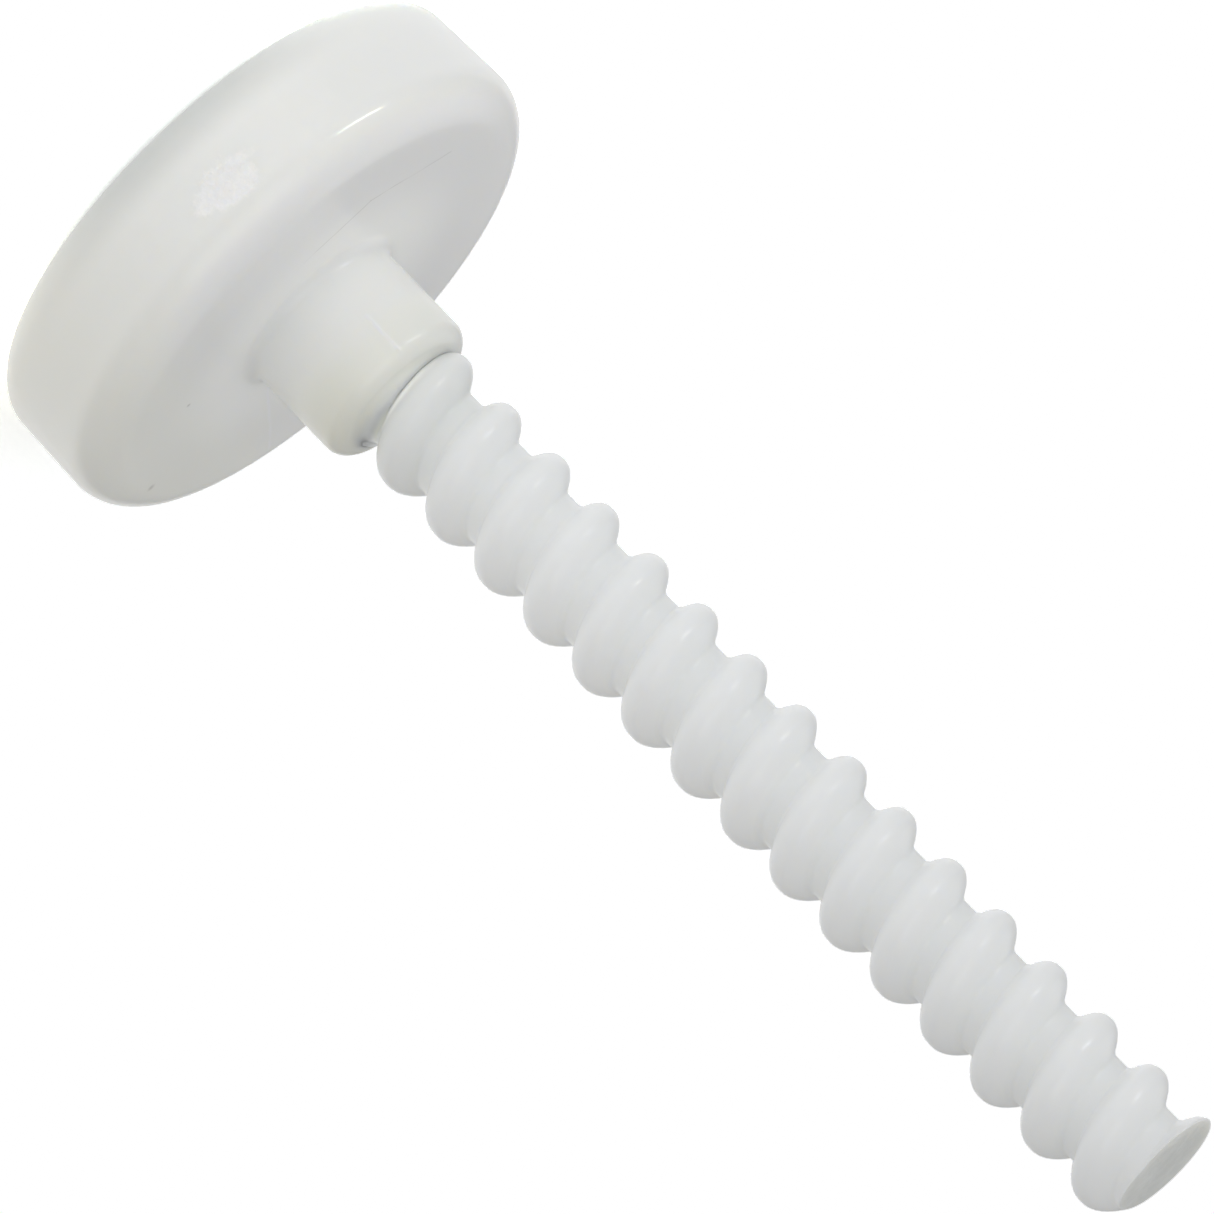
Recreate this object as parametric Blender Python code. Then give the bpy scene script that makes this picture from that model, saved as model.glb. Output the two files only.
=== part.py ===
"""A wall and panel anchor with a thick mushroom head and a coarse round-threaded rod.

The head and its short boss are one moulding with a blind threaded socket. The rod is screwed into the socket
and stands out of the boss. The anchor stands on the head's flat outer face, with the rod pointing up, and its
axis is +Z. Everything is in metres.
"""

import math

import bmesh
import bpy

# Head: a thick disc with rounded edges and a little draft, from its outer face at z = 0.
HEAD_OUTER_RADIUS = 0.02485
HEAD_INNER_RADIUS = 0.0251
HEAD_THICKNESS = 0.0136
OUTER_EDGE_RADIUS = 0.0028
INNER_EDGE_RADIUS = 0.0037

# Boss: the round socket that stands up from the middle of the head's inner face.
BOSS_RADIUS = 0.00762
BOSS_LENGTH = 0.0109
BOSS_END_RADIUS = 0.0015
BOSS_ROOT_RADIUS = 0.0012

# Collar: the hollow fillet that leads from the boss's end down to the rod.
COLLAR_RADIUS = 0.0014

# Thread: one right-hand ridge with a rounded crest, wound on a round core.
CORE_RADIUS = 0.00432
RIDGE_HEIGHT = 0.00186
RIDGE_HALF_WIDTH = 0.00218
PITCH = 0.0062
SQUARENESS_TOWARDS_HEAD = 2.8
SQUARENESS_TOWARDS_TIP = 2.1

# Rod: how much of it stands out of the boss, and how much of it is screwed into the head.
EXPOSED_LENGTH = 0.09415
ENGAGED_LENGTH = 0.0201
GAP = 0.0003

# Fineness of the faceted surfaces.
TURNED_STEPS = 64
THREAD_COLUMNS = 24
RIDGE_STEPS = 6
FILLET_STEPS = 5
SMOOTH_BELOW = math.radians(35)
MERGE_WITHIN = 1e-6

BOSS_END_Z = HEAD_THICKNESS + BOSS_LENGTH
ROD_START_Z = BOSS_END_Z - ENGAGED_LENGTH
ROD_LENGTH = ENGAGED_LENGTH + EXPOSED_LENGTH


def remove_objects():
    """Empties the scene."""
    for thing in list(bpy.data.objects):
        bpy.data.objects.remove(thing, do_unlink=True)


def plastic(name, colour, roughness):
    """A plain moulded plastic."""
    material = bpy.data.materials.new(name)
    material.use_nodes = True
    shader = material.node_tree.nodes["Principled BSDF"]
    shader.inputs["Base Color"].default_value = (*colour, 1.0)
    shader.inputs["Roughness"].default_value = roughness
    shader.inputs["Metallic"].default_value = 0.0
    return material


def arc(centre_r, centre_z, radius, start, end):
    """Points (r, z) along a circular arc, from one angle in degrees to another."""
    angles = [math.radians(start + (end - start) * i / FILLET_STEPS) for i in range(FILLET_STEPS + 1)]
    return [(centre_r + radius * math.cos(a), centre_z + radius * math.sin(a)) for a in angles]


def head_profile():
    """The turned outline of the head and its boss as (r, z), from the outer face to the collar's end."""
    outer_edge = arc(HEAD_OUTER_RADIUS - OUTER_EDGE_RADIUS, OUTER_EDGE_RADIUS, OUTER_EDGE_RADIUS, -90, 0)
    inner_edge = arc(
        HEAD_INNER_RADIUS - INNER_EDGE_RADIUS, HEAD_THICKNESS - INNER_EDGE_RADIUS, INNER_EDGE_RADIUS, 0, 90
    )
    root = arc(BOSS_RADIUS + BOSS_ROOT_RADIUS, HEAD_THICKNESS + BOSS_ROOT_RADIUS, BOSS_ROOT_RADIUS, 270, 180)
    shoulder = arc(BOSS_RADIUS - BOSS_END_RADIUS, BOSS_END_Z - BOSS_END_RADIUS, BOSS_END_RADIUS, 0, 90)
    collar = arc(BOSS_RADIUS - BOSS_END_RADIUS, BOSS_END_Z + COLLAR_RADIUS, COLLAR_RADIUS, 270, 180)
    return [(0.0, 0.0), *outer_edge, *inner_edge, *root, *shoulder, *collar[1:], (0.0, collar[-1][1])]


def finished(name, bm, material):
    """Makes the named object of a mesh, shaded smooth except at its sharp edges."""
    bmesh.ops.recalc_face_normals(bm, faces=bm.faces)
    mesh = bpy.data.meshes.new(name)
    bm.to_mesh(mesh)
    bm.free()
    mesh.shade_smooth()
    mesh.set_sharp_from_angle(angle=SMOOTH_BELOW)
    thing = bpy.data.objects.new(name, mesh)
    if material:
        mesh.materials.append(material)
    bpy.context.scene.collection.objects.link(thing)
    return thing


def turned(name, profile, material):
    """A solid of revolution about +Z, from a profile that starts and ends on the axis."""
    bm = bmesh.new()
    points = [bm.verts.new((r, 0.0, z)) for r, z in profile]
    edges = [bm.edges.new(pair) for pair in zip(points, points[1:])]
    bmesh.ops.spin(
        bm,
        geom=points + edges,
        axis=(0, 0, 1),
        cent=(0, 0, 0),
        angle=math.tau,
        steps=TURNED_STEPS,
        use_merge=True,
    )
    bmesh.ops.remove_doubles(bm, verts=bm.verts, dist=MERGE_WITHIN)
    return finished(name, bm, material)


def ridge_section(clearance):
    """One pitch of the thread as (distance along the axis, radius), from one foot of the ridge to the other.

    The crest is rounded, and the flank towards the head is squarer than the flank towards the tip.
    """
    half_width = RIDGE_HALF_WIDTH + clearance
    section = []
    for i in range(RIDGE_STEPS + 1):
        share = 2 * i / RIDGE_STEPS - 1
        squareness = SQUARENESS_TOWARDS_HEAD if share < 0 else SQUARENESS_TOWARDS_TIP
        height = RIDGE_HEIGHT * (1 - abs(share) ** squareness)
        section.append((share * half_width, CORE_RADIUS + clearance + height))
    return section


def threaded(name, low, high, clearance, material):
    """A threaded bar from z = low to z = high, cut off square, with its crest on the +X side at z = 0."""
    section = ridge_section(clearance)
    first = math.floor(low / PITCH) - 2
    last = math.ceil(high / PITCH) + 2
    rows = [(turn * PITCH + along, radius) for turn in range(first, last) for along, radius in section]
    bm = bmesh.new()
    grid = []
    for along, radius in rows:
        ring = []
        for column in range(THREAD_COLUMNS):
            turn = column / THREAD_COLUMNS
            x, y = radius * math.cos(math.tau * turn), radius * math.sin(math.tau * turn)
            ring.append(bm.verts.new((x, y, along + turn * PITCH)))
        grid.append(ring)
    # After the last column the surface goes on in the first one, one pitch higher.
    one_pitch = len(section)
    grid = [ring + [grid[i + one_pitch][0]] for i, ring in enumerate(grid[:-one_pitch])]
    for lower, upper in zip(grid, grid[1:]):
        for c in range(THREAD_COLUMNS):
            bm.faces.new((lower[c], lower[c + 1], upper[c + 1], upper[c]))
    for height, outwards in ((low, -1), (high, 1)):
        everything = bm.verts[:] + bm.edges[:] + bm.faces[:]
        bmesh.ops.bisect_plane(
            bm, geom=everything, plane_co=(0, 0, height), plane_no=(0, 0, outwards), clear_outer=True
        )
    loose = [v for v in bm.verts if not v.link_faces]
    bmesh.ops.delete(bm, geom=loose, context="VERTS")
    caps = bmesh.ops.holes_fill(bm, edges=[e for e in bm.edges if e.is_boundary], sides=0)["faces"]
    bmesh.ops.poke(bm, faces=caps)
    return finished(name, bm, material)


def mushroom_head():
    """The head with its boss, and the threaded socket cut into it."""
    nylon = plastic("natural_nylon_head", (0.68, 0.68, 0.63), 0.4)
    head = turned("mushroom_head", head_profile(), nylon)
    socket = threaded("socket_cutter", -GAP, ENGAGED_LENGTH + PITCH, GAP, None)
    socket.location.z = ROD_START_Z
    socket.hide_render = True
    socket.display_type = "WIRE"
    cut = head.modifiers.new("threaded_socket", "BOOLEAN")
    cut.operation = "DIFFERENCE"
    cut.solver = "EXACT"
    cut.object = socket


def threaded_rod():
    """The rod, screwed in so far that its square end stops just clear of the socket's floor."""
    nylon = plastic("natural_nylon_rod", (0.68, 0.70, 0.70), 0.4)
    rod = threaded("threaded_rod", 0.0, ROD_LENGTH, 0.0, nylon)
    rod.location.z = ROD_START_Z


remove_objects()
mushroom_head()
threaded_rod()
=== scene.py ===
"""The looks of the mushroom-head anchor.

Fine meshes for the moulded head and the threaded rod, natural nylon materials, and a plain pale studio.
Everything is in metres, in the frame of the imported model: the anchor stands on the head's outer face, with
its axis along +Z.
"""

import math

import bmesh
import bpy
from mathutils import Matrix, Vector, noise


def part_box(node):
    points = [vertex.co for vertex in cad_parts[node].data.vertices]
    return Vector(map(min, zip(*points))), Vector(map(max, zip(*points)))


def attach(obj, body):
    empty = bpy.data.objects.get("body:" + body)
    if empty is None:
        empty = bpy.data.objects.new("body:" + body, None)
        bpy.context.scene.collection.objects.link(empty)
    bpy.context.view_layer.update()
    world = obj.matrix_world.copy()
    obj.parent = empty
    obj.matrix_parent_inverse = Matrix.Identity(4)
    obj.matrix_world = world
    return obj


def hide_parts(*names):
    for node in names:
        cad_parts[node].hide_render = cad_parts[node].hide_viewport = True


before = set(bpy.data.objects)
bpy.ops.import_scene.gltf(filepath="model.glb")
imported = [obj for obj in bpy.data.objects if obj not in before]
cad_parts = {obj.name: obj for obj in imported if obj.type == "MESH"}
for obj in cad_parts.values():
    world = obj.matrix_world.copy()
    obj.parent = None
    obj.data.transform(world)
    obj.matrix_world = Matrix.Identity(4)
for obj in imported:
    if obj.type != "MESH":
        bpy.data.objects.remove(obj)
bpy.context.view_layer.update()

MM = 0.001

# Sizes that the frame gives.
_, head_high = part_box("mushroom_head")
rod_low, rod_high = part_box("threaded_rod")
HEAD_INNER_RADIUS = head_high.x
COLLAR_END_Z = head_high.z
ROD_START_Z = rod_low.z
ROD_END_Z = rod_high.z

# The rest of the head's outline.
HEAD_OUTER_RADIUS = 24.85 * MM
HEAD_THICKNESS = 13.6 * MM
OUTER_EDGE_RADIUS = 2.8 * MM
INNER_EDGE_RADIUS = 3.7 * MM
BOSS_RADIUS = 7.62 * MM
BOSS_END_RADIUS = 1.5 * MM
BOSS_ROOT_RADIUS = 1.2 * MM
COLLAR_RADIUS = 1.4 * MM
BOSS_END_Z = COLLAR_END_Z - COLLAR_RADIUS
COLLAR_LIP = 0.02 * MM
SINK_DEPTH = 0.12 * MM

# The thread's section.
CORE_RADIUS = 4.32 * MM
RIDGE_HEIGHT = 1.86 * MM
RIDGE_HALF_WIDTH = 2.18 * MM
PITCH = 6.2 * MM
SQUARENESS_TOWARDS_HEAD = 2.8
SQUARENESS_TOWARDS_TIP = 2.1
FOOT_FILLET = 0.14 * MM
FOOT_SPREAD = 0.2
SOCKET_FLOOR_GAP = 0.3 * MM

# Fineness of the meshes.
HEAD_COLUMNS = 384
FACE_STEPS = 24
OUTER_EDGE_STEPS = 18
SIDE_STEPS = 28
INNER_EDGE_STEPS = 22
ROOT_STEPS = 10
BOSS_STEPS = 20
SHOULDER_STEPS = 14
ROD_COLUMNS = 96
RIDGE_STEPS = 20
SMOOTH_BELOW = math.radians(38)
ON_PLANE = 1e-6


# ---------------------------------------------------------------- mesh helpers


def object_of(name, bm):
    """Links a new object with this mesh, shaded smooth except at its sharp edges."""
    bmesh.ops.recalc_face_normals(bm, faces=bm.faces)
    mesh = bpy.data.meshes.new(name)
    bm.to_mesh(mesh)
    bm.free()
    mesh.shade_smooth()
    mesh.set_sharp_from_angle(angle=SMOOTH_BELOW)
    thing = bpy.data.objects.new(name, mesh)
    bpy.context.scene.collection.objects.link(thing)
    return thing


def smoothstep(value, low, high):
    """0 below low, 1 above high, and a smooth rise in between."""
    share = min(max((value - low) / (high - low), 0.0), 1.0)
    return share * share * (3 - 2 * share)


def line(start, end, steps):
    """Points (r, z) on a straight line, without the last one."""
    return [
        (start[0] + (end[0] - start[0]) * i / steps, start[1] + (end[1] - start[1]) * i / steps)
        for i in range(steps)
    ]


def arc(centre_r, centre_z, radius, start, end, steps):
    """Points (r, z) along a circular arc, from one angle in degrees to another."""
    angles = [math.radians(start + (end - start) * i / steps) for i in range(steps + 1)]
    return [(centre_r + radius * math.cos(a), centre_z + radius * math.sin(a)) for a in angles]


# ---------------------------------------------------------------- the head

# The rim isn't quite true: two soft lobes and three, which begin at one radius and are full at another.
RIM_WAVE = 0.03 * MM
RIM_WAVE_SHIFT = 1.6
THREE_LOBES = 0.6
TWO_LOBES_TURN = 0.7
THREE_LOBES_TURN = 2.1
RIM_WAVE_FROM = 15 * MM
RIM_WAVE_FULL = 24 * MM

# The outer face's sink, which is deepest inside the first radius and ends at the second.
SINK_FLAT_RADIUS = 4 * MM
SINK_END_RADIUS = 20 * MM

# The scar that the gate left on the head's side, and the part of the side that it can reach.
GATE_AZIMUTH = math.radians(266.0)
GATE_HEIGHT = 8.2 * MM
GATE_HALF_WIDTH = 2.6 * MM
GATE_HALF_HEIGHT = 1.7 * MM
GATE_LEAN = 0.45
GATE_CUT = 0.10 * MM
GATE_ROUGHNESS = 0.10 * MM
GATE_EDGE_SIZE = 0.9 * MM
GATE_EDGE_RAGGED = 0.25
GATE_TEAR_SIZE = 0.8 * MM
GATE_TEAR_SEED = 3.0 * MM
GATE_TEAR_FALLOFF = 0.8
GATE_TEAR_LACUNARITY = 2.1
GATE_TEAR_OCTAVES = 3
GATE_INSIDE = 0.80
GATE_OUTSIDE = 1.15
GATE_SPAN_ACROSS = 6 * MM
GATE_SPAN_UP = 4 * MM

# The fine raised line on the boss, where two parts of the mould met.
WITNESS_AZIMUTH = math.radians(250.0)
WITNESS_LOW_Z = 19.0 * MM
WITNESS_HIGH_Z = 23.7 * MM
WITNESS_HALF_WIDTH = 0.22 * MM
WITNESS_HEIGHT = 0.06 * MM


def head_outline():
    """The turned outline (r, z) from the outer face's centre round to the boss's end."""
    outer_edge_r = HEAD_OUTER_RADIUS - OUTER_EDGE_RADIUS
    outer_edge = arc(outer_edge_r, OUTER_EDGE_RADIUS, OUTER_EDGE_RADIUS, -90, 0, OUTER_EDGE_STEPS)
    inner_edge_r = HEAD_INNER_RADIUS - INNER_EDGE_RADIUS
    inner_edge_z = HEAD_THICKNESS - INNER_EDGE_RADIUS
    inner_edge = arc(inner_edge_r, inner_edge_z, INNER_EDGE_RADIUS, 0, 90, INNER_EDGE_STEPS)
    root_r = BOSS_RADIUS + BOSS_ROOT_RADIUS
    root = arc(root_r, HEAD_THICKNESS + BOSS_ROOT_RADIUS, BOSS_ROOT_RADIUS, 270, 180, ROOT_STEPS)
    shoulder_r = BOSS_RADIUS - BOSS_END_RADIUS
    shoulder = arc(shoulder_r, BOSS_END_Z - BOSS_END_RADIUS, BOSS_END_RADIUS, 0, 90, SHOULDER_STEPS)
    # The collar is a quarter of an ellipse, hollow, down to just outside the core.
    reach = shoulder_r - CORE_RADIUS - COLLAR_LIP
    quarter = [math.pi / 2 * i / SHOULDER_STEPS for i in range(SHOULDER_STEPS + 1)]
    collar = [
        (shoulder_r - reach * math.sin(a), COLLAR_END_Z - COLLAR_RADIUS * math.cos(a)) for a in quarter
    ]
    return (
        line((0.0, 0.0), outer_edge[0], FACE_STEPS)
        + outer_edge[:-1]
        + line(outer_edge[-1], inner_edge[0], SIDE_STEPS)
        + inner_edge[:-1]
        + line(inner_edge[-1], root[0], FACE_STEPS)
        + root[:-1]
        + line(root[-1], shoulder[0], BOSS_STEPS)
        + shoulder[:-1]
        + collar
        + [(0.0, COLLAR_END_Z)]
    )


def head_shape(radius, z, angle):
    """A point of the head's surface, with the small faults of a thick moulding."""
    if z < OUTER_EDGE_RADIUS / 2:
        z += SINK_DEPTH * (1 - smoothstep(radius, SINK_FLAT_RADIUS, SINK_END_RADIUS))
    radius += rim_wave(radius, angle)
    radius -= gate_scar(z, angle)
    radius += witness_line(z, angle)
    return Vector((radius * math.cos(angle), radius * math.sin(angle), z))


def rim_wave(radius, angle):
    """How far the rim stands out from a true circle. It is never above 0."""
    lobes = math.sin(2 * angle + TWO_LOBES_TURN) + THREE_LOBES * math.sin(3 * angle + THREE_LOBES_TURN)
    return RIM_WAVE * (lobes - RIM_WAVE_SHIFT) * smoothstep(radius, RIM_WAVE_FROM, RIM_WAVE_FULL)


def gate_scar(z, angle):
    """How deep the gate's torn scar goes into the head's side."""
    across = (angle - GATE_AZIMUTH) * HEAD_INNER_RADIUS
    up = z - GATE_HEIGHT
    if abs(across) > GATE_SPAN_ACROSS or abs(up) > GATE_SPAN_UP:
        return 0.0
    ragged = noise.noise(Vector((across, up, 0.0)) / GATE_EDGE_SIZE)
    reach = math.hypot((across + GATE_LEAN * up) / GATE_HALF_WIDTH, up / GATE_HALF_HEIGHT)
    inside = 1 - smoothstep(reach + GATE_EDGE_RAGGED * ragged, GATE_INSIDE, GATE_OUTSIDE)
    place = Vector((across, up, GATE_TEAR_SEED)) / GATE_TEAR_SIZE
    torn = noise.fractal(place, GATE_TEAR_FALLOFF, GATE_TEAR_LACUNARITY, GATE_TEAR_OCTAVES)
    return inside * (GATE_CUT + GATE_ROUGHNESS * torn)


def witness_line(z, angle):
    """How high the mould's line stands on the boss's side."""
    if z < WITNESS_LOW_Z or z > WITNESS_HIGH_Z:
        return 0.0
    across = abs(angle - WITNESS_AZIMUTH) * BOSS_RADIUS
    return WITNESS_HEIGHT * (1 - smoothstep(across, 0.0, WITNESS_HALF_WIDTH))


def turned_head():
    """The head's outer surface as a closed mesh, before the socket is cut."""
    outline = head_outline()
    bm = bmesh.new()
    angles = [math.tau * i / HEAD_COLUMNS for i in range(HEAD_COLUMNS)]
    rings = [[bm.verts.new(head_shape(r, z, a)) for a in angles] for r, z in outline[1:-1]]
    for lower, upper in zip(rings, rings[1:]):
        for i in range(HEAD_COLUMNS):
            j = (i + 1) % HEAD_COLUMNS
            bm.faces.new((lower[i], lower[j], upper[j], upper[i]))
    for ring, (r, z) in ((rings[0], outline[0]), (rings[-1], outline[-1])):
        pole = bm.verts.new(head_shape(r, z, 0.0))
        for i in range(HEAD_COLUMNS):
            bm.faces.new((ring[i], ring[(i + 1) % HEAD_COLUMNS], pole))
    return object_of("head_moulding", bm)


def cut_socket(head):
    """Cuts the threaded socket into the boss, a close fit round the rod."""
    low = -SOCKET_FLOOR_GAP
    high = COLLAR_END_Z - ROD_START_Z + PITCH
    cutter = threaded("socket_cutter", low, high, lambda place: (1.0, 0.0))
    cutter.location.z = ROD_START_Z
    cut = head.modifiers.new("socket", "BOOLEAN")
    cut.operation = "DIFFERENCE"
    cut.solver = "EXACT"
    cut.object = cutter
    bpy.context.view_layer.update()
    evaluated = head.evaluated_get(bpy.context.evaluated_depsgraph_get())
    mesh = bpy.data.meshes.new_from_object(evaluated)
    head.modifiers.clear()
    head.data = mesh
    bpy.data.objects.remove(cutter)
    mesh.shade_smooth()
    mesh.set_sharp_from_angle(angle=SMOOTH_BELOW)


# ---------------------------------------------------------------- the rod

END_ROUNDING = 0.16 * MM
END_DRAW = 1.4
END_LOOPS = 3
END_RINGS = 14

# The ridge's unevenness: its growth along the rod, its swell and its drift, and how far past the collar
# they begin and are full.
CREST_GROWTH = 0.05
CREST_WOBBLE = 0.035
CREST_WOBBLE_RATE = 1.3
CREST_WOBBLE_SEED = (0.0, 4.7)
AXIAL_WOBBLE = 0.07 * MM
AXIAL_WOBBLE_RATE = 1.7
AXIAL_WOBBLE_SEED = (8.2, 0.0)
WOBBLE_FROM = 1 * MM
WOBBLE_FULL = 8 * MM

# The saw's marks on the end: arcs that cross it aslant, and a grain over them.
SAW_PITCH = 0.45 * MM
SAW_DEPTH = 0.03 * MM
SAW_SLANT = (0.8, 0.6)
SAW_CURVE = 9.0
SAW_GRAIN = 0.8
SAW_GRAIN_SIZE = 0.7 * MM
SAW_BELOW = 0.4


def ridge_section():
    """One pitch of the thread as (distance along the axis, height above the core), foot to foot.

    The crest is rounded, the flank towards the head is squarer than the flank towards the tip, and a small
    fillet joins each flank to the core.
    """
    section = []
    for i in range(RIDGE_STEPS + 1):
        share = 2 * i / RIDGE_STEPS - 1
        share *= 1 + FOOT_SPREAD
        squareness = SQUARENESS_TOWARDS_HEAD if share < 0 else SQUARENESS_TOWARDS_TIP
        height = RIDGE_HEIGHT * (1 - abs(share) ** squareness)
        height = (height + math.hypot(height, FOOT_FILLET)) / 2
        section.append((share * RIDGE_HALF_WIDTH, height))
    return section


def threaded(name, low, high, wobble, rounded=False):
    """A threaded bar from z = low to z = high, cut off square, with its crest on the +X side at z = 0.

    wobble takes a place along the thread, in turns. It gives the ridge's relative height there, and its
    shift along the axis.
    """
    section = ridge_section()
    first = math.floor(low / PITCH) - 2
    last = math.ceil(high / PITCH) + 2
    rows = [(turn, *point) for turn in range(first, last) for point in section]
    bm = bmesh.new()
    grid = []
    for turn, along, height in rows:
        ring = []
        for column in range(ROD_COLUMNS):
            place = turn + column / ROD_COLUMNS
            angle = math.tau * column / ROD_COLUMNS
            taller, shift = wobble(place)
            radius = CORE_RADIUS + height * taller
            z = place * PITCH + along + shift * height / RIDGE_HEIGHT
            ring.append(bm.verts.new((radius * math.cos(angle), radius * math.sin(angle), z)))
        grid.append(ring)
    # After the last column the surface goes on in the first one, one pitch higher.
    one_pitch = len(section)
    grid = [ring + [grid[i + one_pitch][0]] for i, ring in enumerate(grid[:-one_pitch])]
    for lower, upper in zip(grid, grid[1:]):
        for c in range(ROD_COLUMNS):
            bm.faces.new((lower[c], lower[c + 1], upper[c + 1], upper[c]))
    if rounded:
        for i in range(END_LOOPS):
            slice_at(bm, high - END_ROUNDING * (i + 1) / END_LOOPS, 1, False)
    slice_at(bm, low, -1, True)
    slice_at(bm, high, 1, True)
    bmesh.ops.delete(bm, geom=[v for v in bm.verts if not v.link_faces], context="VERTS")
    if rounded:
        draw_in(bm, high)
    for height in (low, high):
        close_end(bm, height, rounded and height == high)
    return object_of(name, bm)


def draw_in(bm, end):
    """Rounds the edge of the end at this height, by drawing its last loops towards the axis."""
    for v in bm.verts:
        share = smoothstep(v.co.z, end - END_ROUNDING, end + END_ROUNDING)
        radius = math.hypot(v.co.x, v.co.y)
        shrunk = (radius - END_DRAW * END_ROUNDING * share) / radius
        v.co.x *= shrunk
        v.co.y *= shrunk


def slice_at(bm, height, outwards, clear):
    """Cuts the mesh at a height, and drops what is past it if clear is set."""
    everything = bm.verts[:] + bm.edges[:] + bm.faces[:]
    bmesh.ops.bisect_plane(
        bm, geom=everything, plane_co=(0, 0, height), plane_no=(0, 0, outwards), clear_outer=clear
    )


def close_end(bm, height, sawn):
    """Closes the open edge at a height: with a sawn face of shrinking rings, or with a plain fan."""
    left = [e for e in bm.edges if e.is_boundary and max(abs(v.co.z - height) for v in e.verts) < ON_PLANE]
    edge = list(left.pop().verts)
    while left:
        link = next(e for e in edge[-1].link_edges if e in left)
        left.remove(link)
        edge.append(link.other_vert(edge[-1]))
    edge.pop()
    rings = END_RINGS if sawn else 1
    outer = edge
    for ring in range(1, rings):
        share = 1 - ring / rings
        inner = [bm.verts.new(sawn_point(v.co.x * share, v.co.y * share, height)) for v in edge]
        for i, v in enumerate(outer):
            j = (i + 1) % len(outer)
            bm.faces.new((v, outer[j], inner[j], inner[i])).material_index = 1
        outer = inner
    middle = bm.verts.new(sawn_point(0, 0, height) if sawn else (0, 0, height))
    for i, v in enumerate(outer):
        bm.faces.new((v, outer[(i + 1) % len(outer)], middle)).material_index = 1 if sawn else 0


def sawn_point(x, y, height):
    """A point of the sawn end: slightly below the end's plane, in shallow arcs that the blade left."""
    across = SAW_SLANT[0] * x + SAW_SLANT[1] * y + SAW_CURVE * y * y
    depth = 0.5 + 0.5 * math.sin(math.tau * across / SAW_PITCH)
    depth += SAW_GRAIN * noise.noise(Vector((x, y, 0.0)) / SAW_GRAIN_SIZE)
    return Vector((x, y, height - SAW_DEPTH * (SAW_BELOW + max(depth, 0.0))))


def rod_wobble(place):
    """The ridge's relative height and axial shift: true inside the boss, and a little uneven outside it."""
    z = place * PITCH + ROD_START_Z
    free = smoothstep(z, COLLAR_END_Z + WOBBLE_FROM, COLLAR_END_Z + WOBBLE_FULL)
    share = (z - COLLAR_END_Z) / (ROD_END_Z - COLLAR_END_Z)
    uneven = noise.noise(Vector((place * CREST_WOBBLE_RATE, *CREST_WOBBLE_SEED)))
    drift = noise.noise(Vector((place * AXIAL_WOBBLE_RATE, *AXIAL_WOBBLE_SEED)))
    taller = 1 + free * (CREST_GROWTH * (share - 0.5) + CREST_WOBBLE * uneven)
    return taller, free * AXIAL_WOBBLE * drift


# ---------------------------------------------------------------- materials


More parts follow.
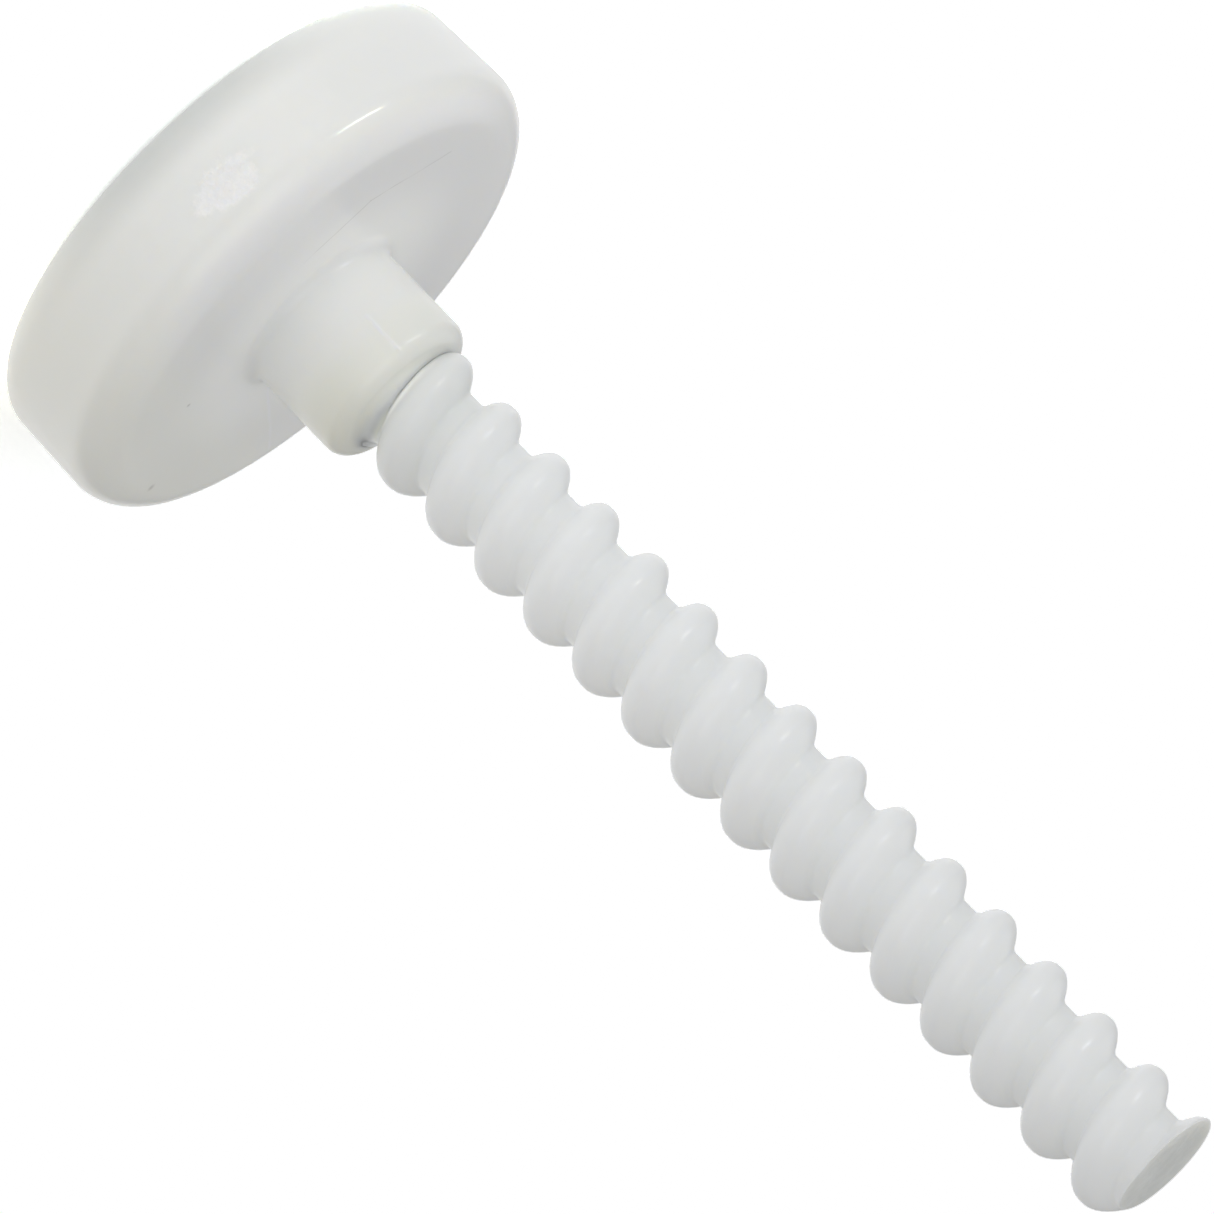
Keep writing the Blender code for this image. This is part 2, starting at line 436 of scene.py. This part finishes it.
class Nodes:
    """A short way to add and link the nodes of one material."""

    def __init__(self, name):
        self.material = bpy.data.materials.new(name)
        self.material.use_nodes = True
        self.tree = self.material.node_tree
        self.shader = self.tree.nodes["Principled BSDF"]
        self.place = self.add("ShaderNodeTexCoord").outputs["Object"]
        self.axes = self.add("ShaderNodeSeparateXYZ", {0: self.place}).outputs

    def add(self, kind, inputs=None, **settings):
        """A node with these settings and these input values or links."""
        node = self.tree.nodes.new(kind)
        for key, value in settings.items():
            setattr(node, key, value)
        for key, value in (inputs or {}).items():
            self.set(node.inputs[key], value)
        return node

    def set(self, socket, value):
        """Gives an input a value, or links an output to it."""
        if isinstance(value, bpy.types.NodeSocket):
            self.tree.links.new(value, socket)
        else:
            socket.default_value = value

    def math(self, operation, first, second=0.0, third=0.0):
        """One arithmetic step."""
        node = self.add("ShaderNodeMath", operation=operation)
        for socket, value in zip(node.inputs, (first, second, third)):
            self.set(socket, value)
        return node.outputs[0]

    def vector(self, operation, first, second):
        """One step of vector arithmetic."""
        node = self.add("ShaderNodeVectorMath", {0: first, 1: second}, operation=operation)
        return node.outputs["Vector"]

    def measure(self, operation, first, second=(0.0, 0.0, 0.0)):
        """A length, a distance or a dot product."""
        node = self.add("ShaderNodeVectorMath", {0: first, 1: second}, operation=operation)
        return node.outputs["Value"]

    def noise(self, size, detail=2.0, roughness=0.5):
        """Noise whose features are about this big, in metres."""
        inputs = {"Vector": self.place, "Scale": 1 / size, "Detail": detail, "Roughness": roughness}
        return self.add("ShaderNodeTexNoise", inputs).outputs["Fac"]

    def ranged(self, value, low, high, to_low, to_high):
        """The value mapped smoothly from one range to another, and held at its ends."""
        inputs = {"Value": value, "From Min": low, "From Max": high, "To Min": to_low, "To Max": to_high}
        return self.add("ShaderNodeMapRange", inputs, interpolation_type="SMOOTHSTEP").outputs["Result"]

    def blend(self, factor, first, second):
        """A colour between two others."""
        node = self.add("ShaderNodeMix", data_type="RGBA")
        self.set(node.inputs["Factor"], factor)
        for socket, value in ((node.inputs["A"], first), (node.inputs["B"], second)):
            self.set(socket, value if isinstance(value, bpy.types.NodeSocket) else (*value, 1.0))
        return node.outputs["Result"]

    def drifted(self, colour, drifts):
        """The colour drawn towards each drift's tint in turn."""
        for axis, start, end, at_start, at_end, tint in drifts:
            share = self.ranged(self.axes[axis], start, end, at_start, at_end)
            colour = self.blend(share, colour, tint)
        return colour

    def near(self, point, reach):
        """1 at a point and 0 from the reach on."""
        return self.ranged(self.measure("DISTANCE", self.place, point), 0.0, reach, 1.0, 0.0)

    def ring(self, radius, height, reach):
        """1 on a circle about the axis and 0 from the reach on."""
        flat = self.vector("MULTIPLY", self.place, (1.0, 1.0, 0.0))
        out = self.math("SUBTRACT", self.measure("LENGTH", flat), radius)
        up = self.math("SUBTRACT", self.axes["Z"], height)
        squares = self.math("ADD", self.math("MULTIPLY", out, out), self.math("MULTIPLY", up, up))
        return self.ranged(self.math("SQRT", squares), 0.0, reach, 1.0, 0.0)

    def stroke(self, place, start, end, width):
        """1 along a straight scratch or streak between two points, and 0 from this distance on."""
        ahead = Vector(end) - Vector(start)
        local = self.vector("SUBTRACT", place, start)
        along = self.measure("DOT_PRODUCT", local, ahead.normalized())
        held = self.add("ShaderNodeClamp", {"Value": along, "Min": 0.0, "Max": ahead.length}).outputs[0]
        nearest = self.vector("MULTIPLY", held, ahead.normalized())
        return self.ranged(self.measure("DISTANCE", local, nearest), 0.0, width, 1.0, 0.0)

    def bumps(self, *layers):
        """Chained bumps of (height, distance in metres, strength), linked to the shader's normal."""
        normal = None
        for height, distance, strength in layers:
            inputs = {"Height": height, "Distance": distance, "Strength": strength}
            if normal:
                inputs["Normal"] = normal
            normal = self.add("ShaderNodeBump", inputs).outputs["Normal"]
        self.set(self.shader.inputs["Normal"], normal)


# Most values of a noise lie in this range.
NOISE_LOW = 0.3
NOISE_HIGH = 0.7

CLOUD_SIZE = 11 * MM
CLOUD_LOW = 0.35
CLOUD_HIGH = 0.68
GRAIN_SIZE = 1.1 * MM
GRAIN_SHARE = 0.18
SCATTER_BY_COLOUR = (1.0, 0.93, 0.80)
REFRACTION = 1.5
COAT_ROUGHNESS = 0.14
BUMP_STRENGTH = 0.5
SKIN_GRAIN_SIZE = 0.35 * MM
SKIN_GRAIN_DEPTH = 0.006 * MM


def nylon(nodes, light, dark, scatter, coat):
    """Natural nylon: waxy and translucent, faintly clouded, with a satin skin. Returns its colour."""
    cloud = nodes.ranged(nodes.noise(CLOUD_SIZE, detail=3.0), CLOUD_LOW, CLOUD_HIGH, 0.0, 1.0)
    grain = nodes.ranged(nodes.noise(GRAIN_SIZE), NOISE_LOW, NOISE_HIGH, -GRAIN_SHARE, GRAIN_SHARE)
    mixed = nodes.math("ADD", cloud, grain)
    colour = nodes.blend(nodes.add("ShaderNodeClamp", {"Value": mixed}).outputs[0], light, dark)
    shader = nodes.shader.inputs
    shader["Subsurface Weight"].default_value = 1.0
    shader["Subsurface Radius"].default_value = SCATTER_BY_COLOUR
    nodes.set(shader["Subsurface Scale"], scatter)
    shader["IOR"].default_value = REFRACTION
    shader["Coat Weight"].default_value = coat
    shader["Coat Roughness"].default_value = COAT_ROUGHNESS
    shader["Coat IOR"].default_value = REFRACTION
    return colour


# The head's colours. They drift slowly over the piece, and so do the rod's: given amounts, most of them
# painted light and shade, which stand in for a part of the light on the real one.
RIM_TINT = (0.876, 0.880, 0.860)
RIM_TINT_CLOUDED = (0.858, 0.861, 0.838)
FAR_EDGE_PAINTED_SHADE = (0.570, 0.585, 0.575)
SHADED_TINT = (0.820, 0.815, 0.765)
UPPER_PAINTED_SHADE = (0.820, 0.827, 0.817)
UNDERSIDE_PAINTED_LIGHT = (0.976, 0.977, 0.925)
BOSS_TINT = (0.898, 0.902, 0.848)
BOSS_UPPER_PAINTED_SHADE = (0.845, 0.852, 0.820)
BOSS_SHADED_TINT = (0.838, 0.830, 0.745)
GATE_TINT = (0.985, 0.972, 0.945)
STREAK_AND_GLINT_TINT = (0.99, 0.99, 0.98)
DIRT_TINT = (0.52, 0.50, 0.46)

# Each drift: its axis, where it starts and ends, how much of the tint shows at each, and the tint. These
# drifts
# are painted shade: darker by the head's outer edge, and on either side of the head and of the boss.
HEAD_PAINTED_SHADES = (
    ("Z", 0.0, 5 * MM, 1.0, 0.0, FAR_EDGE_PAINTED_SHADE),
    ("X", 2 * MM, 24 * MM, 0.0, 1.0, SHADED_TINT),
    ("X", -6 * MM, -24 * MM, 0.0, 1.0, UPPER_PAINTED_SHADE),
)
BOSS_PAINTED_SHADES = (
    ("X", -1 * MM, 8 * MM, 0.0, 1.0, BOSS_SHADED_TINT),
    ("X", -1 * MM, -7 * MM, 0.0, 1.0, BOSS_UPPER_PAINTED_SHADE),
)

# The underside's tint is painted light. It comes in near its plane, and is weaker on the shaded side.
UNDERSIDE_FROM_Z = 10 * MM
UNDERSIDE_FULL_Z = 13.4 * MM
UNDERSIDE_SHADED_X = 20 * MM
UNDERSIDE_BRIGHT_X = 2 * MM
UNDERSIDE_SHADED_SHARE = 0.35

# The boss's colour takes over from the head's between these heights.
BOSS_FROM_Z = 15 * MM
BOSS_FULL_Z = 24 * MM

# How far light reaches in the thick head and in its thin boss, and from which height it begins to fall.
HEAD_SCATTER = 3.0 * MM
BOSS_SCATTER = 1.0 * MM
SCATTER_FALLS_FROM_Z = 12 * MM

HEAD_COAT = 0.45
HEAD_SHINE_SIZE = 4 * MM
HEAD_SMOOTHEST = 0.34
HEAD_ROUGHEST = 0.44
HEAD_WAVE_SIZE = 3.2 * MM
HEAD_WAVE_DEPTH = 0.05 * MM

# Painted light and a faint painted glow, for the light that the plastic carries round a corner: at the
# boss's root and its mouth.
ROOT_PAINTED_LIGHT = (0.984, 0.988, 0.915)
ROOT_RADIUS = 8.2 * MM
ROOT_Z = 14.2 * MM
ROOT_REACH = 9.0 * MM
ROOT_GLOW = 0.06
MOUTH_PAINTED_LIGHT = (0.930, 0.936, 0.918)
MOUTH_GLOW = 0.20
MOUTH_RADIUS = 5.0 * MM
MOUTH_Z = 25.9 * MM
MOUTH_REACH = 1.1 * MM

# The gate's scar in the head's colour: a ragged patch a little larger than the scar, shiny and torn.
GATE_PATCH_GROWTH = (1.15, 1.1)
GATE_PATCH_DEPTH = 4 * MM
GATE_PATCH_EDGE_SIZE = 1.5 * MM
GATE_PATCH_RAGGED = 1.7
GATE_PATCH_INSIDE = 0.7
GATE_PATCH_OUTSIDE = 1.2
GATE_MOTTLE_SIZE = 0.7 * MM
GATE_MOTTLE_LOW = 0.35
GATE_MOTTLE_HIGH = 0.6
GATE_MOTTLE_LEAST = 0.6
GATE_SHINE = 0.1
GATE_TORN_SIZE = 0.55 * MM
GATE_TORN_DEPTH = 0.14 * MM
GATE_TORN_STRENGTH = 0.8

# Small marks on the head: where each begins and ends, or its middle, and its half width, in millimetres.
SCRATCHES = (
    ((-2.1, -11.7, 13.6), (-9.7, -11.2, 13.6), 0.16),
    ((-9.7, -11.2, 13.6), (-17.5, -5.7, 13.6), 0.14),
    ((-20.7, -12.2, 12.9), (-20.2, -14.0, 12.6), 0.13),
)
SPECKS = (
    ((20.8, 2.9, 13.5), 0.30),
    ((13.5, -6.0, 13.6), 0.16),
    ((-14.5, -16.5, 12.8), 0.16),
)
# The last streak is a painted highlight along the mould line on the boss; the others are flow streaks.
FLOW_STREAKS_AND_GLINT = (
    ((8.4, 8.3, 13.6), (11.2, 17.9, 13.6), 0.30),
    ((5.9, 0.2, 13.6), (8.4, 8.3, 13.6), 0.20),
    ((-2.6, -7.2, 19.4), (-2.6, -7.2, 23.2), 0.36),
)
STREAK_AND_GLINT_STRENGTH = 0.8
SCRATCH_STRENGTH = 0.4
SPECK_STRENGTH = 0.7
MARK_WAVER = 0.8 * MM
MARK_WAVER_SCALE = 180.0


def in_metres(point):
    """A point given in millimetres."""
    return tuple(part * MM for part in point)


def head_plastic():
    """The head's nylon. Light reaches less far into its thin boss, whose brighter tint is painted light."""
    nodes = Nodes("natural_nylon_head")
    side, height = nodes.axes["X"], nodes.axes["Z"]
    scatter = nodes.ranged(height, SCATTER_FALLS_FROM_Z, BOSS_END_Z, HEAD_SCATTER, BOSS_SCATTER)
    colour = nylon(nodes, RIM_TINT, RIM_TINT_CLOUDED, scatter, HEAD_COAT)
    # Painted shade: the head darker by its outer face's edge and on either side.
    colour = nodes.drifted(colour, HEAD_PAINTED_SHADES)
    # Painted light: the underside brighter near its plane, less so on the shaded side.
    near_face = nodes.ranged(height, UNDERSIDE_FROM_Z, UNDERSIDE_FULL_Z, 0.0, 1.0)
    lit = nodes.ranged(side, UNDERSIDE_SHADED_X, UNDERSIDE_BRIGHT_X, UNDERSIDE_SHADED_SHARE, 1.0)
    colour = nodes.blend(nodes.math("MULTIPLY", near_face, lit), colour, UNDERSIDE_PAINTED_LIGHT)
    # The boss's tint is a little brighter, as painted light, and darker on either side, as painted shade.
    boss = nodes.drifted(BOSS_TINT, BOSS_PAINTED_SHADES)
    colour = nodes.blend(nodes.ranged(height, BOSS_FROM_Z, BOSS_FULL_Z, 0.0, 1.0), colour, boss)
    # Painted light and glow at the boss's root and mouth.
    colour = light_joints(nodes, colour)
    gate = gate_patch(nodes)
    colour = nodes.blend(gate, colour, GATE_TINT)
    colour = marked(nodes, colour)
    nodes.set(nodes.shader.inputs["Base Color"], colour)
    shine = nodes.noise(HEAD_SHINE_SIZE, detail=3.0)
    rough = nodes.ranged(shine, NOISE_LOW, NOISE_HIGH, HEAD_SMOOTHEST, HEAD_ROUGHEST)
    rough = nodes.math("SUBTRACT", rough, nodes.math("MULTIPLY", gate, GATE_SHINE))
    nodes.set(nodes.shader.inputs["Roughness"], rough)
    torn = nodes.math("MULTIPLY", gate, nodes.noise(GATE_TORN_SIZE, detail=3.0))
    nodes.bumps(
        (nodes.noise(HEAD_WAVE_SIZE), HEAD_WAVE_DEPTH, BUMP_STRENGTH),
        (nodes.noise(SKIN_GRAIN_SIZE), SKIN_GRAIN_DEPTH, BUMP_STRENGTH),
        (torn, GATE_TORN_DEPTH, GATE_TORN_STRENGTH),
    )
    return nodes.material


def light_joints(nodes, colour):
    """The colour at the boss's root and mouth, with painted light: a brighter tint and a faint glow, for the
    light inside the plastic.
    """
    root = nodes.ring(ROOT_RADIUS, ROOT_Z, ROOT_REACH)
    mouth = nodes.ring(MOUTH_RADIUS, MOUTH_Z, MOUTH_REACH)
    root_glow = nodes.math("MULTIPLY", root, ROOT_GLOW)
    mouth_glow = nodes.math("MULTIPLY", mouth, MOUTH_GLOW)
    nodes.set(nodes.shader.inputs["Emission Color"], (*ROOT_PAINTED_LIGHT, 1.0))
    nodes.set(nodes.shader.inputs["Emission Strength"], nodes.math("ADD", root_glow, mouth_glow))
    return nodes.blend(mouth, nodes.blend(root, colour, ROOT_PAINTED_LIGHT), MOUTH_PAINTED_LIGHT)


def gate_patch(nodes):
    """1 on the torn scar of the gate and 0 round it, with a ragged edge and a patchy middle."""
    reach = HEAD_INNER_RADIUS
    centre = (reach * math.cos(GATE_AZIMUTH), reach * math.sin(GATE_AZIMUTH), GATE_HEIGHT)
    local = nodes.vector("SUBTRACT", nodes.place, centre)
    wider, taller = GATE_PATCH_GROWTH
    size = (wider * GATE_HALF_WIDTH, GATE_PATCH_DEPTH, taller * GATE_HALF_HEIGHT)
    away = nodes.measure("LENGTH", nodes.vector("DIVIDE", local, size))
    edge = nodes.noise(GATE_PATCH_EDGE_SIZE, detail=4.0, roughness=0.6)
    ragged = nodes.math("MULTIPLY_ADD", edge, GATE_PATCH_RAGGED, -GATE_PATCH_RAGGED / 2)
    inside = nodes.ranged(nodes.math("ADD", away, ragged), GATE_PATCH_INSIDE, GATE_PATCH_OUTSIDE, 1.0, 0.0)
    mottle = nodes.noise(GATE_MOTTLE_SIZE)
    patchy = nodes.ranged(mottle, GATE_MOTTLE_LOW, GATE_MOTTLE_HIGH, GATE_MOTTLE_LEAST, 1.0)
    return nodes.math("MULTIPLY", inside, patchy)


def marked(nodes, colour):
    """The colour with the head's fine scratches, specks and flow streaks, and a painted highlight along the
    boss's mould line.
    """
    waver = nodes.add("ShaderNodeTexNoise", {"Vector": nodes.place, "Scale": MARK_WAVER_SCALE})
    drift = nodes.vector("SUBTRACT", waver.outputs["Color"], (0.5, 0.5, 0.5))
    drift = nodes.vector("MULTIPLY", drift, (MARK_WAVER,) * 3)
    wavering = nodes.vector("ADD", nodes.place, drift)
    # Flow streaks, and one painted highlight on the boss's mould line.
    for start, end, width in FLOW_STREAKS_AND_GLINT:
        streak = nodes.stroke(wavering, in_metres(start), in_metres(end), width * MM)
        colour = nodes.blend(nodes.math("MULTIPLY", streak, STREAK_AND_GLINT_STRENGTH), colour, STREAK_AND_GLINT_TINT)
    for start, end, width in SCRATCHES:
        scratch = nodes.stroke(wavering, in_metres(start), in_metres(end), width * MM)
        colour = nodes.blend(nodes.math("MULTIPLY", scratch, SCRATCH_STRENGTH), colour, DIRT_TINT)
    for centre, reach in SPECKS:
        speck = nodes.near(in_metres(centre), 2 * reach * MM)
        colour = nodes.blend(nodes.math("MULTIPLY", speck, SPECK_STRENGTH), colour, DIRT_TINT)
    return colour


ROD_TINT = (0.868, 0.885, 0.886)
ROD_TINT_CLOUDED = (0.846, 0.864, 0.866)
ROD_SHADED_TINT = (0.893, 0.898, 0.882)
ROD_UPPER_PAINTED_SHADE = (0.812, 0.836, 0.844)
ROD_TINT_BY_BOSS = (0.800, 0.813, 0.806)
ROD_TINT_BY_TIP = (0.835, 0.852, 0.855)
# The rod's drifts: painted shade on its upper side, a warmer tint on its shaded side as painted bounce
# light, and darker towards the tip and towards the boss.
ROD_PAINTED_SHADES_AND_DRIFTS = (
    ("X", -1 * MM, 6 * MM, 0.0, 0.7, ROD_SHADED_TINT),
    ("X", -1 * MM, -5 * MM, 0.0, 0.8, ROD_UPPER_PAINTED_SHADE),
    ("Z", 45 * MM, ROD_END_Z, 0.0, 0.7, ROD_TINT_BY_TIP),
    ("Z", COLLAR_END_Z, 38 * MM, 0.8, 0.0, ROD_TINT_BY_BOSS),
)

# How far light reaches in the rod: little by the boss, and far from this height on.
ROD_SCATTER_BY_BOSS = 2.5 * MM
ROD_SCATTER = 13.0 * MM
ROD_SCATTER_FULL_Z = 34 * MM

ROD_COAT = 0.25
ROD_SHINE_SIZE = 3 * MM
ROD_SMOOTHEST = 0.30
ROD_ROUGHEST = 0.42
ROD_WAVE_SIZE = 2.4 * MM
ROD_WAVE_DEPTH = 0.04 * MM


def rod_plastic():
    """The rod's nylon, a little cooler and smoother than the head's, and clear enough to look soft."""
    nodes = Nodes("natural_nylon_rod")
    scatter = nodes.ranged(
        nodes.axes["Z"], COLLAR_END_Z, ROD_SCATTER_FULL_Z, ROD_SCATTER_BY_BOSS, ROD_SCATTER
    )
    colour = nylon(nodes, ROD_TINT, ROD_TINT_CLOUDED, scatter, ROD_COAT)
    # Painted shade and bounce light across the rod, and painted light and glow at the boss's root and mouth.
    colour = light_joints(nodes, nodes.drifted(colour, ROD_PAINTED_SHADES_AND_DRIFTS))
    nodes.set(nodes.shader.inputs["Base Color"], colour)
    shine = nodes.noise(ROD_SHINE_SIZE, detail=3.0)
    rough = nodes.ranged(shine, NOISE_LOW, NOISE_HIGH, ROD_SMOOTHEST, ROD_ROUGHEST)
    nodes.set(nodes.shader.inputs["Roughness"], rough)
    nodes.bumps(
        (nodes.noise(ROD_WAVE_SIZE), ROD_WAVE_DEPTH, BUMP_STRENGTH),
        (nodes.noise(SKIN_GRAIN_SIZE), SKIN_GRAIN_DEPTH, BUMP_STRENGTH),
    )
    return nodes.material


SAWN_TINT = (0.77, 0.78, 0.76)
SAWN_TINT_CLOUDED = (0.66, 0.67, 0.65)
SAWN_SCATTER = 2.0 * MM
SAWN_ROUGHNESS = 0.62
SAWN_GRAIN_SIZE = 0.25 * MM
SAWN_GRAIN_DEPTH = 0.03 * MM
SAWN_GRAIN_STRENGTH = 0.8


def sawn_plastic():
    """The rod's sawn end: greyer and matt, with fine marks."""
    nodes = Nodes("sawn_nylon")
    colour = nylon(nodes, SAWN_TINT, SAWN_TINT_CLOUDED, SAWN_SCATTER, 0.0)
    nodes.set(nodes.shader.inputs["Base Color"], colour)
    nodes.shader.inputs["Roughness"].default_value = SAWN_ROUGHNESS
    nodes.bumps((nodes.noise(SAWN_GRAIN_SIZE, detail=3.0), SAWN_GRAIN_DEPTH, SAWN_GRAIN_STRENGTH))
    return nodes.material


# ---------------------------------------------------------------- studio

CAMERA_AIM = Vector((0.0, 0.0, 50.4 * MM))
CAMERA_ELEVATION = math.radians(16.5)
CAMERA_ROLL = math.radians(135.79)
CAMERA_DISTANCE = 1.1284
CAMERA_LENS = 396.3
SENSOR_WIDTH = 36.0
NEAREST_SEEN = 0.01
FARTHEST_SEEN = 20.0


def camera():
    """A long lens, low over the floor and rolled, so that the anchor hangs diagonally in the picture."""
    data = bpy.data.cameras.new("camera")
    data.lens = CAMERA_LENS
    data.sensor_width = SENSOR_WIDTH
    data.clip_start = NEAREST_SEEN
    data.clip_end = FARTHEST_SEEN
    thing = bpy.data.objects.new("camera", data)
    bpy.context.scene.collection.objects.link(thing)
    back = Vector((0.0, -math.cos(CAMERA_ELEVATION), math.sin(CAMERA_ELEVATION)))
    level = back.to_track_quat("Z", "Y").to_matrix().to_4x4()
    place = Matrix.Translation(CAMERA_AIM + back * CAMERA_DISTANCE)
    thing.matrix_world = place @ level @ Matrix.Rotation(CAMERA_ROLL, 4, "Z")
    bpy.context.scene.camera = thing


# Each lamp's name, azimuth and elevation in degrees, width and height in metres, and power in watts.
LAMPS = (
    ("front", -90, 36, 1.0, 0.7, 1.9),
    ("behind", 120, 38, 1.0, 0.7, 0.8),
    ("glint", -155, 8, 0.42, 0.07, 1.3),
)
LAMP_DISTANCE = 1.0


def lamp(name, azimuth, elevation, width, height, watts):
    """A soft light that points at the anchor."""
    data = bpy.data.lights.new(name, "AREA")
    data.shape = "RECTANGLE"
    data.size = width
    data.size_y = height
    data.energy = watts
    thing = bpy.data.objects.new(name, data)
    bpy.context.scene.collection.objects.link(thing)
    a, e = math.radians(azimuth), math.radians(elevation)
    out = Vector((math.cos(a) * math.cos(e), math.sin(a) * math.cos(e), math.sin(e)))
    facing = out.to_track_quat("Z", "Y").to_matrix().to_4x4()
    thing.matrix_world = Matrix.Translation(CAMERA_AIM + out * LAMP_DISTANCE) @ facing


FLOOR_HALF_WIDTH = 2.5
FLOOR_DROP = 0.02 * MM
FLOOR_WHITE = (0.9, 0.9, 0.9, 1.0)
FLOOR_ROUGHNESS = 0.9
FLOOR_GLOW = 0.375
POOL_CENTRE = (0.0, 0.25, 0.0)
POOL_REACH = (0.100, 0.33, 1.0)
POOL_FADE = 1.6
GLOW_BEYOND = (0.12, 0.12, 0.12)


def floor():
    """A plain white light table, which glows under the anchor and behind it, where the camera looks."""
    bm = bmesh.new()
    bmesh.ops.create_grid(bm, x_segments=1, y_segments=1, size=FLOOR_HALF_WIDTH)
    bmesh.ops.translate(bm, verts=bm.verts, vec=(0, 0, -FLOOR_DROP))
    table = object_of("floor", bm)
    nodes = Nodes("white_table")
    away = nodes.vector("SUBTRACT", nodes.place, POOL_CENTRE)
    away = nodes.vector("DIVIDE", away, POOL_REACH)
    reach = nodes.measure("LENGTH", away)
    glow = nodes.blend(nodes.ranged(reach, 1.0, POOL_FADE, 0.0, 1.0), (1.0, 1.0, 1.0), GLOW_BEYOND)
    nodes.set(nodes.shader.inputs["Emission Color"], glow)
    nodes.shader.inputs["Base Color"].default_value = FLOOR_WHITE
    nodes.shader.inputs["Roughness"].default_value = FLOOR_ROUGHNESS
    nodes.shader.inputs["Specular IOR Level"].default_value = 0.0
    nodes.shader.inputs["Emission Strength"].default_value = FLOOR_GLOW
    table.data.materials.append(nodes.material)


WORLD_STRENGTH = 0.33
BRIGHTER_TOWARDS = (-0.15, 0.0, 0.66)
TINT_OF_BRIGHTER = (0.97, 1.0, 1.0)

# The picture's response: two brightnesses, and how bright each is shown.
WHITE_CURVE = ((0.83, 0.83), (0.90, 1.0))

MAX_BOUNCES = 16
DIFFUSE_BOUNCES = 12


def surroundings():
    """Soft pale light from all round, and a response that takes the brightest tones up to white.

    The light is a little stronger and cooler from above and from one side. Only the table is bright enough
    to be taken to white.
    """
    world = bpy.data.worlds.new("studio")
    world.use_nodes = True
    tree = world.node_tree
    direction = tree.nodes.new("ShaderNodeTexCoord").outputs["Generated"]
    slope = tree.nodes.new("ShaderNodeVectorMath")
    slope.operation = "DOT_PRODUCT"
    slope.inputs[1].default_value = BRIGHTER_TOWARDS
    level = tree.nodes.new("ShaderNodeVectorMath")
    level.operation = "MULTIPLY_ADD"
    level.inputs[1].default_value = TINT_OF_BRIGHTER
    level.inputs[2].default_value = (1.0, 1.0, 1.0)
    tree.links.new(direction, slope.inputs[0])
    tree.links.new(slope.outputs["Value"], level.inputs[0])
    background = tree.nodes["Background"]
    tree.links.new(level.outputs["Vector"], background.inputs["Color"])
    background.inputs["Strength"].default_value = WORLD_STRENGTH
    scene = bpy.context.scene
    scene.world = world
    view = scene.view_settings
    view.view_transform = "Standard"
    view.use_curve_mapping = True
    # The fourth curve acts on all colours at once.
    whole = view.curve_mapping.curves[3]
    for brightness, shown in WHITE_CURVE:
        whole.points.new(brightness, shown)
    for point in whole.points:
        point.handle_type = "VECTOR"
    view.curve_mapping.update()
    scene.cycles.max_bounces = MAX_BOUNCES
    scene.cycles.diffuse_bounces = DIFFUSE_BOUNCES


# ---------------------------------------------------------------- the scene

camera()
floor()
surroundings()
for settings in LAMPS:
    lamp(*settings)

head = turned_head()
cut_socket(head)
head.data.materials.clear()
head.data.materials.append(head_plastic())
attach(head, "root")
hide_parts("mushroom_head")

rod = threaded("rod_thread", 0.0, ROD_END_Z - ROD_START_Z, rod_wobble, rounded=True)
rod.data.transform(Matrix.Translation((0, 0, ROD_START_Z)))
rod.data.materials.append(rod_plastic())
rod.data.materials.append(sawn_plastic())
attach(rod, "root")
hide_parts("threaded_rod")
